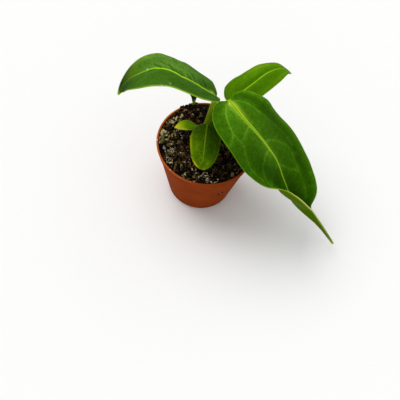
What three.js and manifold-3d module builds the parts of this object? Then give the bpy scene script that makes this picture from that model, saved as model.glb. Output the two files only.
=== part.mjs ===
import * as THREE from 'three';
import { mergeVertices } from 'three/addons/utils/BufferGeometryUtils.js';
import Module from 'manifold-3d';

const wasm = await Module();
wasm.setup();

// A queen anthurium seedling in a round nursery pot. Millimetres, +Z up,
// origin at the middle of the pot's underside.

// Driving dimensions
const gap = 0.3;
const pot = {
  rimRadius: 32, height: 50, baseRadius: 22, wall: 1.1, floor: 1.5, lip: 1.3, lipHeight: 1.1,
  collarHeight: 6, collarStep: 0.6, edge: 0.4, sides: 48,
  drainCount: 5, drainRadius: 2.6, drainCircle: 13,
};
const soilTop = 48.4;
const crownShape = { x: 1.2, y: 5.8, bottom: 40, top: 55.5, radius: 5.8 };
const bladeThickness = 0.65;
const keelWidth = 0.9;

// Blade outlines: length along the midrib and half width, as fractions.
const lobedOutline = [
  [-0.012, 0.03], [-0.05, 0.15], [-0.062, 0.37], [-0.02, 0.66], [0.09, 0.88], [0.26, 1],
  [0.46, 0.97], [0.64, 0.8], [0.79, 0.54], [0.9, 0.26], [0.965, 0.1], [1, 0.02],
];
const dripOutline = [
  [-0.003, 0.02], [-0.018, 0.13], [-0.028, 0.3], [-0.005, 0.57], [0.07, 0.82], [0.2, 0.96], [0.38, 1],
  [0.54, 0.93], [0.64, 0.77], [0.72, 0.43], [0.79, 0.25], [0.89, 0.13], [1, 0.03],
];
const bluntOutline = [
  [-0.012, 0.03], [-0.05, 0.15], [-0.062, 0.37], [-0.02, 0.66], [0.09, 0.88], [0.26, 1],
  [0.46, 0.98], [0.64, 0.88], [0.79, 0.71], [0.9, 0.49], [0.965, 0.27], [1, 0.05],
];
const lanceOutline = [
  [0.02, 0.12], [0.1, 0.24], [0.22, 0.42], [0.38, 0.78], [0.55, 1], [0.74, 0.8], [0.9, 0.36], [1, 0.05],
];

// Each leaf: midrib points from the joint to the tip, half width, then values along the midrib of
// the bank (whole blade) and of the fold and curl of its left and right half, in degrees.
const leaves = {
  left: {
    midrib: [
      [1, 11.5, 83], [-9.4, 9.4, 92.5], [-18.5, 8.2, 99], [-28, 9, 102.5], [-36, 9, 102],
      [-44, 9, 96], [-51, 9.5, 88.5], [-55.5, 10, 80], [-58.5, 9, 72],
    ],
    halfWidth: 16.2, outline: lobedOutline, rows: 28, columns: 6, keel: 1,
    bank: [-22, -16, -8, 3, 11],
    fold: [[30, 24, 16, 16, 6], [17, 10, 6, 13, 11]],
    curl: [[22, 24, 25, 24, 25], [19, 25, 29, 24, 25]],
    wave: { height: 0.5, count: 2.9, phase: 1.1 },
    stalk: [[-1.3, 6, 51], [-1.6, 6.2, 60], [-1.3, 7.2, 68], [-0.3, 9.2, 76], [1.8, 11.4, 81.6]],
    stalkRadius: [3, 2.7, 2.2, 1.8, 1.6],
  },
  front: {
    midrib: [
      [10, 1, 93], [19.5, -8, 91], [28, -12, 85], [36.5, -12, 74.5], [45, -14, 62.5],
      [52.5, -19.5, 49.5], [60.5, -22.5, 37], [70, -24.5, 26], [83, -29, 17.5], [97.5, -39, 8.5],
    ],
    halfWidth: 23.2, outline: dripOutline, rows: 42, columns: 6, keel: 1.3,
    bank: [0, 0],
    fold: [[12, 14, 10, 12, 27, 37, 54, 60, 70], [13, 9, 7, 27, 62, 77, 96, 87, 81]],
    curl: [[17, 20, 23, 21, 12, 11, 4, 0, 0], [20, 22, 25, 22, 12, 8, 0, 0, 0]],
    wave: { height: 0.6, count: 3.4, phase: 0 },
    stalk: [[3.6, 4.6, 51], [4.4, 4.8, 61], [7, 4.6, 72], [9.9, 3.8, 82], [9.8, 2.8, 90.6]],
    stalkRadius: [2.3, 2.1, 1.9, 1.8, 1.9],
  },
  back: {
    midrib: [
      [10, 15.5, 76], [16.5, 17, 84.5], [23.5, 21.5, 90.5], [30, 27.5, 93.5], [38, 33, 93], [44.5, 34, 89],
    ],
    halfWidth: 13.4, outline: lobedOutline, rows: 22, columns: 5, keel: 0.9,
    bank: [2, 10, 12, 7],
    fold: [[11, 7, 3, 0], [13, 13, 10, 8]],
    curl: [[20, 21, 25, 22], [20, 20, 22, 20]],
    wave: { height: 0.4, count: 1.8, phase: 1.9 },
    stalk: [[2.2, 9, 51], [2.6, 9.6, 59], [4.2, 11.4, 67], [6.8, 13.6, 72.6], [9.2, 14.8, 75.3]],
    stalkRadius: [2, 1.8, 1.6, 1.5, 1.6],
  },
  small: {
    midrib: [[-1, 0.2, 68.2], [-1, -8, 70.5], [-0.5, -16.2, 68.2], [0, -21.7, 62], [1.5, -23.5, 54.5]],
    halfWidth: 9.8, outline: bluntOutline, rows: 18, columns: 5, keel: 0.7,
    bank: [-6, -4, -10, -2],
    fold: [[1, 4, 8, 10], [-2, 0, 3, 7]],
    curl: [[25, 26, 24, 24], [25, 27, 27, 25]],
    wave: { height: 0.2, count: 2, phase: 0 },
    stalk: [[0.4, 1, 49], [0, 0.2, 55], [-0.6, -0.4, 61], [-0.9, 0.6, 66.6]],
    stalkRadius: [1.5, 1.3, 1.2, 1.3],
  },
  tiny: {
    midrib: [[-8, 6, 56.5], [-14.5, 5.5, 57.5], [-21.5, 2.5, 57]],
    halfWidth: 4, outline: lobedOutline, rows: 12, columns: 4, keel: 0.4,
    bank: [-16, -4, 6, 1],
    fold: [[11, 9, 7, 4], [2, 5, 7, 8]],
    curl: [[18, 18, 20, 20], [22, 18, 19, 20]],
    wave: { height: 0, count: 1, phase: 0 },
    stalk: [[-4.6, 5, 50], [-5, 5.6, 55], [-5.9, 6.1, 57.4], [-7.3, 6.1, 56.9]],
    stalkRadius: [1.1, 1, 0.95, 1],
  },
  rear: {
    midrib: [[-12.4, 27.8, 53], [-12.9, 29.6, 60], [-13.4, 31, 67], [-14, 31.6, 74]],
    halfWidth: 4.6, outline: lanceOutline, rows: 12, columns: 4, keel: 0.4,
    bank: [0, 0],
    fold: [[30, 26, 20], [30, 26, 20]],
    curl: [[10, 10, 10], [10, 10, 10]],
    wave: { height: 0, count: 1, phase: 0 },
    stalk: [[-12, 25.8, 45], [-12.1, 26.4, 49], [-12.4, 27.6, 53]],
    stalkRadius: [1.1, 1, 0.9],
  },
};

// Soil surface: mounds, and the chips that lie in it.
const mounds = [
  { x: -13, y: 24, height: 3.4, spread: 8.5 },
  { x: 1, y: 5, height: 1.3, spread: 9 },
  { x: -24, y: 6, height: 0.9, spread: 7 },
  { x: 14, y: 22, height: 0.8, spread: 7 },
];
const chipKinds = [
  { count: 30, size: [6.2, 3.6, 1.8], sink: 0.3, shape: () => new THREE.BoxGeometry() },
  { count: 22, size: [1.8, 1.6, 1.5], sink: 0.6, shape: () => new THREE.OctahedronGeometry() },
  { count: 10, size: [1.2, 9.5, 1.3], sink: 0.2, shape: () => new THREE.CylinderGeometry(0.4, 0.5, 1, 5) },
];

const up = new THREE.Vector3(0, 0, 1);
const radians = THREE.MathUtils.degToRad;
const point = ([x, y, z]) => new THREE.Vector3(x, y, z);
const curveThrough = (points) => new THREE.CatmullRomCurve3(points.map(point), false, 'catmullrom', 0.5);

// A smooth value along a piece, from a few values at even steps.
function along(values) {
  const curve = curveThrough(values.map((value) => [value, 0, 0]));
  return (x) => curve.getPoint(THREE.MathUtils.clamp(x, 0, 1)).x;
}

function seededDraw(seed) {
  let state = seed;
  return () => {
    state = (state * 1664525 + 1013904223) % 4294967296;
    return state / 4294967296;
  };
}

// Positions only, with the shared vertices merged.
function merged(geometry) {
  const plain = geometry.clone();
  plain.deleteAttribute('normal');
  plain.deleteAttribute('uv');
  return mergeVertices(plain, 1e-4);
}

// Solids are joined and cut as manifolds.
function solidOf(geometry) {
  const { attributes, index } = merged(geometry);
  const corners = [];
  for (let i = 0; i < index.count; i += 3) {
    const [a, b, c] = [index.getX(i), index.getX(i + 1), index.getX(i + 2)];
    if (a !== b && b !== c && c !== a) corners.push(a, b, c);
  }
  return new wasm.Manifold(new wasm.Mesh({
    numProp: 3,
    vertProperties: new Float32Array(attributes.position.array),
    triVerts: new Uint32Array(corners),
  }));
}

function geometryOf(solid) {
  const mesh = solid.getMesh();
  const geometry = new THREE.BufferGeometry();
  geometry.setAttribute('position', new THREE.BufferAttribute(new Float32Array(mesh.vertProperties), 3));
  geometry.setIndex(new THREE.BufferAttribute(new Uint32Array(mesh.triVerts), 1));
  return geometry;
}

const largestPart = (solid) => solid.decompose().reduce((a, b) => (b.volume() > a.volume() ? b : a));

// A closed turned shape about the vertical axis, from [radius, height] pairs.
function turned(profile, sides) {
  const outline = profile.map(([radius, height]) => new THREE.Vector2(radius, height));
  return new THREE.LatheGeometry(outline, sides).rotateX(Math.PI / 2);
}

// An upright round drill, from its lower end.
function drill(radius, x, y, bottom, depth, sides) {
  const geometry = new THREE.CylinderGeometry(radius, radius, depth, sides).rotateX(Math.PI / 2);
  return solidOf(geometry.translate(x, y, bottom + depth / 2));
}

// A tapered stalk with round ends: a turned spindle whose axis is bent on to a curve.
function stalkSolid(leaf, extra = 0) {
  const ringStep = 3.2;
  const sides = 8;
  const curve = curveThrough(leaf.stalk);
  const length = curve.getLength();
  const radiusAt = along(leaf.stalkRadius);
  const rings = Math.ceil(length / ringStep);
  const foot = radiusAt(0) + extra;
  const head = radiusAt(1) + extra;
  const endRise = 0.7;
  const shoulder = { width: 0.7, rise: 0.45 };
  const profile = [[0, -endRise * foot], [shoulder.width * foot, -shoulder.rise * foot]];
  for (let ring = 0; ring <= rings; ring += 1) {
    profile.push([radiusAt(ring / rings) + extra, (length * ring) / rings]);
  }
  profile.push([shoulder.width * head, length + shoulder.rise * head], [0, length + endRise * head]);
  const geometry = turned(profile, sides);
  const position = geometry.attributes.position;
  for (let i = 0; i < position.count; i += 1) {
    const height = position.getZ(i);
    const onAxis = THREE.MathUtils.clamp(height, 0, length);
    const spot = curve.getPointAt(onAxis / length);
    const ahead = curve.getTangentAt(onAxis / length);
    const across = new THREE.Vector3(0, 1, 0).cross(ahead).normalize();
    const third = ahead.clone().cross(across);
    spot.addScaledVector(across, position.getX(i)).addScaledVector(third, position.getY(i));
    spot.addScaledVector(ahead, height - onAxis);
    position.setXYZ(i, spot.x, spot.y, spot.z);
  }
  return solidOf(geometry);
}

// The blade's upper surface: rows run out from the midrib, fanning round the lobes at the joint.
function bladeSurface(leaf) {
  const lobeDrop = 0.3;
  const startRow = 0.045;
  const endRow = 0.99;
  const spokeStep = 0.25;
  const columnSpread = 1.4;
  const halfShift = 1.7;
  const flattest = 1e-6;
  const curve = curveThrough(leaf.midrib);
  curve.arcLengthDivisions = 400;
  const length = curve.getLength();
  const outline = curveThrough(leaf.outline.map(([s, t]) => [s, t, 0]));
  const heading = point(leaf.midrib.at(-1)).sub(point(leaf.midrib[0])).setZ(0);
  const level = heading.cross(up).normalize();
  const bankAt = along(leaf.bank);
  const foldAt = leaf.fold.map(along);
  const curlAt = leaf.curl.map(along);
  const points = [];
  const drops = [];
  for (let row = 0; row < leaf.rows; row += 1) {
    const edge = outline.getPoint(THREE.MathUtils.lerp(startRow, endRow, row / (leaf.rows - 1)));
    const edgeAlong = edge.x * length;
    const foot = Math.min(Math.max(edgeAlong, row * spokeStep), length);
    for (let column = -leaf.columns; column <= leaf.columns; column += 1) {
      const half = column < 0 ? 0 : 1;
      const sign = Math.sign(column);
      const out = Math.abs(column / leaf.columns) ** columnSpread;
      const s = foot + out * (edgeAlong - foot);
      const width = out * edge.y * leaf.halfWidth;
      const x = THREE.MathUtils.clamp(s / length, 0, 1);
      const ahead = curve.getTangentAt(x);
      const side = level.clone().addScaledVector(ahead, -level.dot(ahead)).normalize();
      const above = side.clone().cross(ahead);
      side.applyAxisAngle(ahead, -radians(bankAt(x)));
      above.applyAxisAngle(ahead, -radians(bankAt(x)));
      const bend = radians(curlAt[half](x)) / leaf.halfWidth || flattest;
      const fold = radians(foldAt[half](x));
      const slope = fold - bend * width;
      const wave = Math.sin(2 * Math.PI * leaf.wave.count * x + leaf.wave.phase + half * halfShift);
      const sideways = (Math.sin(fold) - Math.sin(slope)) / bend;
      const rise = (Math.cos(slope) - Math.cos(fold)) / bend + leaf.wave.height * out ** 2 * wave;
      const behind = Math.min(s, 0);
      const spot = curve.getPointAt(x);
      spot.addScaledVector(ahead, behind * Math.cos(lobeDrop));
      spot.addScaledVector(above, behind * Math.sin(lobeDrop) + rise);
      spot.addScaledVector(side, sign * sideways);
      points.push(spot);
      const normal = above.clone();
      if (sign) normal.multiplyScalar(Math.cos(slope)).addScaledVector(side, -sign * Math.sin(slope));
      const ridge = leaf.keel * (1 - 0.7 * x) * Math.exp(-((width / keelWidth) ** 2));
      drops.push(normal.multiplyScalar(bladeThickness + ridge));
    }
  }
  return { points, drops, across: 2 * leaf.columns + 1 };
}

// A blade: the surface and its underside, which lies lower by the thickness and the midrib's keel.
function bladeSolid(leaf) {
  const { points, drops, across } = bladeSurface(leaf);
  const undersides = points.map((spot, i) => spot.clone().sub(drops[i]));
  const under = points.length;
  const rows = points.length / across;
  const index = [];
  for (let row = 0; row < rows - 1; row += 1) {
    for (let column = 0; column < across - 1; column += 1) {
      const a = row * across + column;
      const [b, c, d] = [a + 1, a + across + 1, a + across];
      index.push(a, b, d, b, c, d);
      index.push(a + under, d + under, b + under, b + under, d + under, c + under);
    }
  }
  const last = (rows - 1) * across;
  const rim = [];
  for (let column = 0; column < across - 1; column += 1) rim.push(column);
  for (let row = 0; row < rows - 1; row += 1) rim.push(row * across + across - 1);
  for (let column = across - 1; column > 0; column -= 1) rim.push(last + column);
  for (let row = rows - 1; row > 0; row -= 1) rim.push(row * across);
  rim.forEach((p, i) => {
    const q = rim[(i + 1) % rim.length];
    index.push(q, p, p + under, q, p + under, q + under);
  });
  const geometry = new THREE.BufferGeometry().setFromPoints([...points, ...undersides]);
  geometry.setIndex(index);
  return solidOf(geometry);
}

// The pot: one turned wall, thin, with a collar and a lip, and drain holes through its floor.
const bodyTop = pot.height - pot.collarHeight;
const collarRadius = pot.rimRadius - 2 * pot.edge;
const bodyRadius = collarRadius - pot.collarStep - pot.edge;
const innerRim = pot.rimRadius - pot.lip;
const innerBody = bodyRadius - pot.wall;
const innerBase = pot.baseRadius - pot.wall;

function potSolid() {
  const { edge, height, floor } = pot;
  const wall = solidOf(turned([
    [0, 0], [pot.baseRadius - 2 * edge, 0], [pot.baseRadius, 2 * edge], [bodyRadius, bodyTop - edge],
    [collarRadius - edge, bodyTop], [collarRadius, height - pot.lipHeight - edge],
    [pot.rimRadius, height - pot.lipHeight + edge], [pot.rimRadius - edge / 2, height],
    [innerRim + edge / 2, height], [innerRim, height - edge], [innerRim - edge, bodyTop + edge],
    [innerBody, bodyTop - 2 * edge], [innerBase, floor + edge], [innerBase - edge, floor], [0, floor],
  ], pot.sides));
  let holed = wall;
  for (let hole = 0; hole < pot.drainCount; hole += 1) {
    const angle = (2 * Math.PI * hole) / pot.drainCount;
    const [x, y] = [pot.drainCircle * Math.cos(angle), pot.drainCircle * Math.sin(angle)];
    holed = holed.subtract(drill(pot.drainRadius, x, y, -floor, 3 * floor, 16));
  }
  return holed;
}

// The short stem, with a faint ring at each old leaf scar.
function crownSolid(extra = 0) {
  const { x, y, bottom, top, radius } = crownShape;
  const rings = 7;
  const scarDepth = 0.25;
  const profile = [[0, bottom - extra]];
  for (let ring = 1; ring < rings; ring += 1) {
    const angle = Math.PI * (ring / rings);
    const inset = ring % 2 ? 0 : scarDepth;
    const height = THREE.MathUtils.lerp(bottom - extra, top + extra, (1 - Math.cos(angle)) / 2);
    profile.push([(radius - inset) * Math.sin(angle) ** 0.7 + extra, height]);
  }
  profile.push([0, top + extra]);
  return solidOf(turned(profile, 16).translate(x, y, 0));
}

// Height of the mix at a place: mounds, and lumps from crossed waves.
function soilHeight(x, y) {
  let height = soilTop;
  for (const mound of mounds) {
    const away = Math.hypot(x - mound.x, y - mound.y) / mound.spread;
    height += mound.height * Math.exp(-(away ** 2));
  }
  height += 0.45 * Math.sin(0.55 * x + 1.3 * Math.sin(0.4 * y)) * Math.cos(0.5 * y + 0.9);
  return height + 0.3 * Math.sin(1.25 * x + 0.8 * y) * Math.sin(1.1 * y - 0.5 * x + 2);
}

// One chip of bark, pumice or stick, with its corners drawn a little apart, sunk into the mix.
function chipSolid(kind, draw) {
  const edgeRoom = 1.2;
  const geometry = merged(kind.shape());
  const position = geometry.attributes.position;
  for (let i = 0; i < position.count; i += 1) {
    const [x, y, z] = kind.size.map((length) => length * (0.8 + 0.4 * draw()));
    position.setXYZ(i, position.getX(i) * x, position.getY(i) * y, position.getZ(i) * z);
  }
  const scale = 0.65 + 0.7 * draw();
  const reach = (innerRim - edgeRoom) * Math.sqrt(draw());
  const around = 2 * Math.PI * draw();
  const [x, y] = [reach * Math.cos(around), reach * Math.sin(around)];
  geometry.scale(scale, scale, scale);
  geometry.rotateX((draw() - 0.5) * 1.3).rotateY((draw() - 0.5) * 0.9).rotateZ(2 * Math.PI * draw());
  geometry.translate(x, y, soilHeight(x, y) + kind.sink * kind.size[2] * scale * 0.5);
  return solidOf(geometry);
}

// The mix that fills the pot, with its chips fused in, inside the pot's wall by the gap.
function soilSolid() {
  const rings = 11;
  const sides = 36;
  const tallest = 8;
  const { edge, height, floor } = pot;
  const profile = [[0, floor + gap], [innerRim, floor + gap], [innerRim, bodyTop]];
  for (let ring = rings; ring >= 0; ring -= 1) profile.push([(innerRim * ring) / rings, soilTop]);
  const bed = turned(profile, sides);
  const position = bed.attributes.position;
  for (let i = 0; i < position.count; i += 1) {
    const [x, y, z] = [position.getX(i), position.getY(i), position.getZ(i)];
    if (z > bodyTop + 1) position.setZ(i, soilHeight(x, y));
  }
  const well = solidOf(turned([
    [0, floor + gap], [innerBase - edge - gap, floor + gap], [innerBase - gap, floor + edge + gap],
    [innerBody - gap, bodyTop - 2 * edge], [innerRim - edge - gap, bodyTop + edge + gap],
    [innerRim - gap, height - edge], [innerRim - gap, height + tallest], [0, height + tallest],
  ], pot.sides));
  const draw = seededDraw(7);
  let soil = solidOf(bed);
  for (const kind of chipKinds) {
    for (let chip = 0; chip < kind.count; chip += 1) {
      soil = soil.add(chipSolid(kind, draw));
    }
  }
  return soil.intersect(well);
}

const materials = {
  plastic: new THREE.MeshStandardMaterial({ color: 0xa84a20, roughness: 0.45, metalness: 0 }),
  mix: new THREE.MeshStandardMaterial({ color: 0x2c2119, roughness: 0.95, metalness: 0 }),
  stem: new THREE.MeshStandardMaterial({ color: 0x6b7a22, roughness: 0.6, metalness: 0 }),
  blade: new THREE.MeshStandardMaterial({ color: 0x3c7a1e, roughness: 0.4, metalness: 0 }),
};

const model = new THREE.Group();
function place(name, solid, material) {
  const mesh = new THREE.Mesh(geometryOf(solid), material);
  mesh.name = name;
  model.add(mesh);
}

// The crown stands in a plain hole, and each stalk in its own. A stalk is cut clear of the crown
// and of the stalks before it, and a blade clear of its own stalk.
const { x: crownX, y: crownY, bottom: crownBottom } = crownShape;
const crownHole = drill(crownShape.radius + gap, crownX, crownY, crownBottom - gap, pot.height, 24);
let soil = soilSolid().subtract(crownHole);
let grown = crownSolid(gap);
for (const [name, leaf] of Object.entries(leaves)) {
  const clearance = stalkSolid(leaf, 1.2 * gap);
  const stalk = largestPart(stalkSolid(leaf).subtract(grown));
  soil = soil.subtract(clearance);
  place(`petiole_${name}`, stalk, materials.stem);
  place(`leaf_${name}`, largestPart(bladeSolid(leaf).subtract(clearance)), materials.blade);
  grown = grown.add(clearance);
}
place('crown', crownSolid(), materials.stem);
place('soil', largestPart(soil), materials.mix);
place('pot', potSolid(), materials.plastic);

export default model;
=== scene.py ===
import bisect
import math
from functools import partial

import bmesh
import bpy
from mathutils import Euler, Matrix, Quaternion, Vector, kdtree, noise


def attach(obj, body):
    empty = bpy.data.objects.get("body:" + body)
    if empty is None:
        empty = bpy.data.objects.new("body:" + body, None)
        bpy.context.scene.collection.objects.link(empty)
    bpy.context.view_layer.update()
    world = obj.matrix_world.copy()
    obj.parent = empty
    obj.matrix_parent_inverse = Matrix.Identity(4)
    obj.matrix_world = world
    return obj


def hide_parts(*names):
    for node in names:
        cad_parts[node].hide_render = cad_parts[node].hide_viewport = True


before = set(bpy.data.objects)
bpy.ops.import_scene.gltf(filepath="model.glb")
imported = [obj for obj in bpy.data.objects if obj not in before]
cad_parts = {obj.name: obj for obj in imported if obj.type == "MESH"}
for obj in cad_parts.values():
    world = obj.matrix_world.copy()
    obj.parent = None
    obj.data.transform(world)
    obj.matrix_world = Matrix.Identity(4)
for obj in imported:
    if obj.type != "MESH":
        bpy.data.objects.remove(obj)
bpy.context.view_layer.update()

# A queen anthurium seedling in its nursery pot. Shapes are worked out in millimetres, and each
# finished mesh is brought to metres when it is put in the scene.
mm = 0.001
mixShare, mixUnder, mixOver = 0, 6, 7  # the sockets of a Mix node that mixes colours


# Small tools

def linear(hexColour):  # an sRGB hex value as the linear colour that a socket takes
    channels = [int(hexColour[i:i + 2], 16) / 255 for i in (1, 3, 5)]
    return tuple(c / 12.92 if c <= 0.04045 else ((c + 0.055) / 1.055) ** 2.4 for c in channels) + (1.0,)


def mix(a, b, t):
    return a + (b - a) * t


def clamp(value, low=0, high=1):
    return min(max(value, low), high)


def smoothStep(low, high, value):
    t = clamp((value - low) / (high - low))
    return t * t * (3 - 2 * t)


def bump(distance, spread):  # 1 on the spot, falling away smoothly
    return math.exp(-(distance / spread) ** 2)


def outward(angle):  # level and away from the pot's axis
    return Vector((math.cos(angle), math.sin(angle), 0))


def through(points, t):  # a smooth curve through evenly spaced points or values, t from 0 to 1
    last = len(points) - 1
    place = clamp(t) * last
    i = min(int(place), last - 1)
    f = place - i
    p1, p2 = points[i], points[i + 1]
    p0 = points[i - 1] if i > 0 else 2 * p1 - p2
    p3 = points[i + 2] if i + 2 <= last else 2 * p2 - p1
    m1, m2 = (p2 - p0) / 2, (p3 - p1) / 2
    start = (2 * f**3 - 3 * f**2 + 1) * p1 + (f**3 - 2 * f**2 + f) * m1
    return start + (3 * f**2 - 2 * f**3) * p2 + (f**3 - f**2) * m2


def walk(points, steps=400):  # a curve's length, and a function giving its spot and heading at a fraction
    points = [Vector(p) for p in points]
    spots = [through(points, i / steps) for i in range(steps + 1)]
    walked = [0.0]
    for a, b in zip(spots, spots[1:]):
        walked.append(walked[-1] + (b - a).length)

    def at(fraction):
        goal = clamp(fraction) * walked[-1]
        i = min(bisect.bisect_right(walked, goal), steps) - 1
        t = (i + (goal - walked[i]) / (walked[i + 1] - walked[i])) / steps
        nudge = 1e-3
        heading = through(points, min(t + nudge, 1)) - through(points, max(t - nudge, 0))
        return through(points, t), heading.normalized()

    return walked[-1], at


def seededDraw(seed):  # numbers that look random and come out the same each run
    state = seed
    factor, shift, states = 1664525, 1013904223, 2**32

    def draw(low=0.0, high=1.0):
        nonlocal state
        state = (state * factor + shift) % states
        return mix(low, high, state / states)

    return draw


def scattered(draw, x, y, spread):  # a spot drawn evenly from a disc
    reach, around = spread * math.sqrt(draw()), math.tau * draw()
    return x + reach * math.cos(around), y + reach * math.sin(around)


def addNode(tree, kind, inputs=None, stops=(), **settings):  # a node with its settings and what feeds it
    node = tree.nodes.new("ShaderNode" + kind)
    for name, value in settings.items():
        setattr(node, name, value)
    for name, value in (inputs or {}).items():
        if isinstance(value, bpy.types.Node):  # a node feeds by its first output in use
            value = next(output for output in value.outputs if output.enabled)
        if isinstance(value, bpy.types.NodeSocket):
            tree.links.new(value, node.inputs[name])
        else:
            node.inputs[name].default_value = value
    for i, (place, colour) in enumerate(stops):  # the first two stops are the ends
        elements = node.color_ramp.elements
        element = elements[i] if i < 2 else elements.new(place)
        element.position = place
        element.color = linear(colour)
    return node


def pitch(size):  # the scale of a pattern whose marks are this many millimetres wide
    return 1 / (size * mm)


def newMaterial(name):  # a bare material, and a function that adds nodes to it
    material = bpy.data.materials.new(name)
    material.use_nodes = True
    material.node_tree.nodes.clear()
    return material, partial(addNode, material.node_tree)


def finishSurface(add, finish, colour, **more):
    shader = add("BsdfPrincipled", {
        "Base Color": colour, "Roughness": finish["roughness"], "IOR": finish["ior"],
        "Specular IOR Level": finish["specular"], **more,
    })
    add("OutputMaterial", {"Surface": shader})


def addObject(name, data):
    thing = bpy.data.objects.new(name, data)
    bpy.context.scene.collection.objects.link(thing)
    return thing


def meshOf(name, bm, scale=mm):  # a mesh from a bmesh, which isn't needed after it
    mesh = bpy.data.meshes.new(name)
    bm.to_mesh(mesh)
    bm.free()
    mesh.transform(Matrix.Scale(scale, 4))
    return mesh


def placePiece(name, bm, material, replaces=(), smooth=True):  # a finished mesh in the scene, in metres
    mesh = meshOf(name, bm)
    mesh.polygons.foreach_set("use_smooth", [smooth] * len(mesh.polygons))
    mesh.materials.append(material)
    piece = addObject(name, mesh)
    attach(piece, "root")
    if replaces:
        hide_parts(*replaces)
    return piece


def wrapGrid(bm, rings, sides, spotOf):  # a grid wrapped round, welded at its seam and its two ends
    if not bm.loops.layers.uv:
        bm.loops.layers.uv.new("UVMap")
    made = bmesh.ops.create_grid(bm, x_segments=sides, y_segments=rings, size=1, calc_uvs=True)["verts"]
    for vert in made:
        around = math.pi * (vert.co.x + 1)
        vert.co = spotOf(around, (vert.co.y + 1) / 2)
    bmesh.ops.remove_doubles(bm, verts=made, dist=1e-4)


# Camera, floor and light

view = {
    "position": (0, -214.8, 363.5), "aim": (2.05, -42.5, 50), "roll": 10.0, "lens": 52.9,
    "farthest": 20000,
}
studio = {
    "floorSize": 6000, "sky": 0.62, "skyColour": "#ffffff",
    "sunFrom": (-450, 300, 900), "sunPower": 1.65, "sunSpread": 44,
}
floorFinish = {"colour": "#f7f7f6", "roughness": 0.9, "ior": 1.5, "specular": 0.1}


def makeStudio():
    camera = addObject("camera", bpy.data.cameras.new("camera"))
    camera.data.lens = view["lens"]
    camera.data.clip_end = view["farthest"] * mm
    towards = Vector(view["aim"]) - Vector(view["position"])
    turn = towards.to_track_quat("-Z", "Y") @ Quaternion((0, 0, 1), math.radians(view["roll"]))
    camera.location = Vector(view["position"]) * mm
    camera.rotation_euler = turn.to_euler()
    bpy.context.scene.camera = camera

    bm = bmesh.new()
    bmesh.ops.create_grid(bm, x_segments=1, y_segments=1, size=studio["floorSize"] / 2)
    floor = addObject("floor", meshOf("floor", bm))
    material, add = newMaterial("matt white paint")  # no gloss, so the floor stays even
    finishSurface(add, floorFinish, linear(floorFinish["colour"]))
    floor.data.materials.append(material)

    world = bpy.data.worlds.new("studio")
    world.use_nodes = True
    sky = world.node_tree.nodes["Background"]
    sky.inputs["Color"].default_value = linear(studio["skyColour"])
    sky.inputs["Strength"].default_value = studio["sky"]
    bpy.context.scene.world = world
    lamp = addObject("sun", bpy.data.lights.new("sun", "SUN"))
    lamp.data.energy = studio["sunPower"]
    lamp.data.angle = math.radians(studio["sunSpread"])
    lamp.rotation_euler = (-Vector(studio["sunFrom"])).to_track_quat("-Z", "Y").to_euler()
    bpy.context.scene.view_settings.view_transform = "Standard"


makeStudio()
print("studio: camera, floor, even sky and one soft sun")


# Leaves

roundLobes = [(-0.012, 0.03), (-0.05, 0.15), (-0.062, 0.37), (-0.02, 0.66), (0.09, 0.88), (0.26, 1)]
outlines = {  # length along the midrib and half width, as fractions
    "lobed": roundLobes + [(0.46, 0.97), (0.64, 0.8), (0.79, 0.54), (0.9, 0.26), (0.965, 0.1), (1, 0.02)],
    "drip": [
        (-0.003, 0.02), (-0.018, 0.13), (-0.028, 0.3), (-0.005, 0.57), (0.07, 0.82), (0.2, 0.96), (0.38, 1),
        (0.54, 0.95), (0.64, 0.75), (0.72, 0.37), (0.79, 0.26), (0.89, 0.1), (1, 0.015),
    ],
    "blunt": roundLobes + [(0.46, 0.98), (0.64, 0.88), (0.79, 0.71), (0.9, 0.49), (0.965, 0.27), (1, 0.05)],
    "pointed": roundLobes + [(0.46, 0.97), (0.64, 0.82), (0.79, 0.6), (0.9, 0.41), (0.965, 0.21), (1, 0.02)],
    "heart": [
        (-0.01, 0.03), (-0.03, 0.16), (-0.035, 0.4), (-0.004, 0.71), (0.085, 0.93), (0.25, 1.06),
        (0.46, 0.99), (0.64, 0.82), (0.79, 0.55), (0.9, 0.27), (0.965, 0.1), (1, 0.02),
    ],
    "lance": [
        (0.02, 0.22), (0.1, 0.3), (0.22, 0.44), (0.38, 0.78), (0.55, 1), (0.74, 0.8), (0.9, 0.36), (1, 0.05),
    ],
}


def onBothHalves(lines):  # lines of (along, across) and their mirror images
    return lines + [[(along, -across) for along, across in line] for line in lines]


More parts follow.
